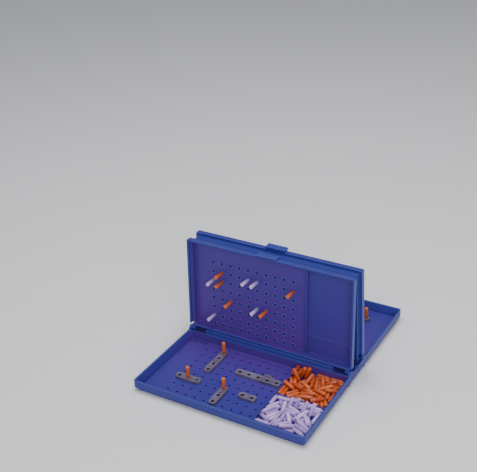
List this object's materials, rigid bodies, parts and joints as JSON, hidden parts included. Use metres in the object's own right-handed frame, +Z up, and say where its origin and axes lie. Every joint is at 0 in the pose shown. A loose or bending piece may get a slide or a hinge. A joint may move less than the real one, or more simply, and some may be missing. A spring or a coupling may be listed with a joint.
{
  "type": "fleet guessing case",
  "caption": "Pair of folding plastic cases for a ship guessing game, each a tray and a hinged lid with peg grids, ships and pegs.",
  "frame": {"origin": "on the table under the middle of the two cases, where their backs meet", "axes": "+X to the front player's right along both hinge lines, +Y from the front case to the rear case, +Z up"},
  "size_m": [0.2, 0.2536, 0.1277],
  "materials": {
    "case_plastic": "satin moulded blue styrene with slightly lighter worn rims",
    "ship_plastic": "satin moulded grey",
    "hit_plastic": "satin moulded orange",
    "miss_plastic": "satin moulded white with a lilac cast"
  },
  "bodies": {
    "front_tray": {"front_tray": "case_plastic"},
    "front_lid": {"front_lid": "case_plastic"},
    "front_carrier": {"front_carrier": "ship_plastic"},
    "front_battleship": {"front_battleship": "ship_plastic"},
    "front_cruiser": {"front_cruiser": "ship_plastic"},
    "front_submarine": {"front_submarine": "ship_plastic"},
    "front_patrol_boat": {"front_patrol_boat": "ship_plastic"},
    "front_battleship_peg": {"front_battleship_peg": "hit_plastic"},
    "front_cruiser_peg": {"front_cruiser_peg": "hit_plastic"},
    "front_submarine_peg": {"front_submarine_peg": "hit_plastic"},
    "front_lid_hit_pegs": {"front_lid_hit_pegs": "hit_plastic"},
    "front_lid_miss_pegs": {"front_lid_miss_pegs": "miss_plastic"},
    "front_spare_hit_pegs": {"front_spare_hit_pegs": "hit_plastic"},
    "front_spare_miss_pegs": {"front_spare_miss_pegs": "miss_plastic"},
    "rear_tray": {"rear_tray": "case_plastic"},
    "rear_lid": {"rear_lid": "case_plastic"},
    "rear_carrier": {"rear_carrier": "ship_plastic"},
    "rear_battleship": {"rear_battleship": "ship_plastic"},
    "rear_cruiser": {"rear_cruiser": "ship_plastic"},
    "rear_submarine": {"rear_submarine": "ship_plastic"},
    "rear_patrol_boat": {"rear_patrol_boat": "ship_plastic"},
    "rear_battleship_peg": {"rear_battleship_peg": "hit_plastic"},
    "rear_cruiser_peg": {"rear_cruiser_peg": "hit_plastic"},
    "rear_submarine_peg": {"rear_submarine_peg": "hit_plastic"},
    "rear_lid_hit_pegs": {"rear_lid_hit_pegs": "hit_plastic"},
    "rear_lid_miss_pegs": {"rear_lid_miss_pegs": "miss_plastic"},
    "rear_spare_hit_pegs": {"rear_spare_hit_pegs": "hit_plastic"},
    "rear_spare_miss_pegs": {"rear_spare_miss_pegs": "miss_plastic"}
  },
  "joints": [
    {"name": "front_lid_hinge", "type": "hinge", "parent": "front_tray", "child": "front_lid", "pos_m": [0, -0.0158, 0.014], "axis": [-1, 0, 0], "range_deg": [-92.6, 0]},
    {"name": "front_carrier_lift", "type": "slide", "parent": "front_tray", "child": "front_carrier", "axis": [0, 0, 1], "range_m": [0, 0.02]},
    {"name": "front_battleship_lift", "type": "slide", "parent": "front_tray", "child": "front_battleship", "axis": [0, 0, 1], "range_m": [0, 0.02]},
    {"name": "front_cruiser_lift", "type": "slide", "parent": "front_tray", "child": "front_cruiser", "axis": [0, 0, 1], "range_m": [0, 0.02]},
    {"name": "front_submarine_lift", "type": "slide", "parent": "front_tray", "child": "front_submarine", "axis": [0, 0, 1], "range_m": [0, 0.02]},
    {"name": "front_patrol_boat_lift", "type": "slide", "parent": "front_tray", "child": "front_patrol_boat", "axis": [0, 0, 1], "range_m": [0, 0.02]},
    {"name": "front_battleship_peg_pull", "type": "slide", "parent": "front_battleship", "child": "front_battleship_peg", "axis": [0, 0, 1], "range_m": [0, 0.012]},
    {"name": "front_cruiser_peg_pull", "type": "slide", "parent": "front_cruiser", "child": "front_cruiser_peg", "axis": [0, 0, 1], "range_m": [0, 0.012]},
    {"name": "front_submarine_peg_pull", "type": "slide", "parent": "front_submarine", "child": "front_submarine_peg", "axis": [0, 0, 1], "range_m": [0, 0.012]},
    {"name": "front_lid_hit_pegs_pull", "type": "slide", "parent": "front_lid", "child": "front_lid_hit_pegs", "axis": [0, -0.999, 0.0454], "range_m": [0, 0.012]},
    {"name": "front_lid_miss_pegs_pull", "type": "slide", "parent": "front_lid", "child": "front_lid_miss_pegs", "axis": [0, -0.999, 0.0454], "range_m": [0, 0.012]},
    {"name": "front_spare_hit_pegs_lift", "type": "slide", "parent": "front_tray", "child": "front_spare_hit_pegs", "axis": [0, 0, 1], "range_m": [0, 0.03]},
    {"name": "front_spare_miss_pegs_lift", "type": "slide", "parent": "front_tray", "child": "front_spare_miss_pegs", "axis": [0, 0, 1], "range_m": [0, 0.03]},
    {"name": "rear_case_slide", "type": "slide", "parent": "front_tray", "child": "rear_tray", "axis": [0, 1, 0], "range_m": [0, 0.06]},
    {"name": "rear_lid_hinge", "type": "hinge", "parent": "rear_tray", "child": "rear_lid", "pos_m": [0, 0.0158, 0.014], "axis": [1, 0, 0], "range_deg": [-92.6, 0]},
    {"name": "rear_carrier_lift", "type": "slide", "parent": "rear_tray", "child": "rear_carrier", "axis": [0, 0, 1], "range_m": [0, 0.02]},
    {"name": "rear_battleship_lift", "type": "slide", "parent": "rear_tray", "child": "rear_battleship", "axis": [0, 0, 1], "range_m": [0, 0.02]},
    {"name": "rear_cruiser_lift", "type": "slide", "parent": "rear_tray", "child": "rear_cruiser", "axis": [0, 0, 1], "range_m": [0, 0.02]},
    {"name": "rear_submarine_lift", "type": "slide", "parent": "rear_tray", "child": "rear_submarine", "axis": [0, 0, 1], "range_m": [0, 0.02]},
    {"name": "rear_patrol_boat_lift", "type": "slide", "parent": "rear_tray", "child": "rear_patrol_boat", "axis": [0, 0, 1], "range_m": [0, 0.02]},
    {"name": "rear_battleship_peg_pull", "type": "slide", "parent": "rear_battleship", "child": "rear_battleship_peg", "axis": [0, 0, 1], "range_m": [0, 0.012]},
    {"name": "rear_cruiser_peg_pull", "type": "slide", "parent": "rear_cruiser", "child": "rear_cruiser_peg", "axis": [0, 0, 1], "range_m": [0, 0.012]},
    {"name": "rear_submarine_peg_pull", "type": "slide", "parent": "rear_submarine", "child": "rear_submarine_peg", "axis": [0, 0, 1], "range_m": [0, 0.012]},
    {"name": "rear_lid_hit_pegs_pull", "type": "slide", "parent": "rear_lid", "child": "rear_lid_hit_pegs", "axis": [0, 0.999, 0.0454], "range_m": [0, 0.012]},
    {"name": "rear_lid_miss_pegs_pull", "type": "slide", "parent": "rear_lid", "child": "rear_lid_miss_pegs", "axis": [0, 0.999, 0.0454], "range_m": [0, 0.012]},
    {"name": "rear_spare_hit_pegs_lift", "type": "slide", "parent": "rear_tray", "child": "rear_spare_hit_pegs", "axis": [0, 0, 1], "range_m": [0, 0.03]},
    {"name": "rear_spare_miss_pegs_lift", "type": "slide", "parent": "rear_tray", "child": "rear_spare_miss_pegs", "axis": [0, 0, 1], "range_m": [0, 0.03]}
  ]
}
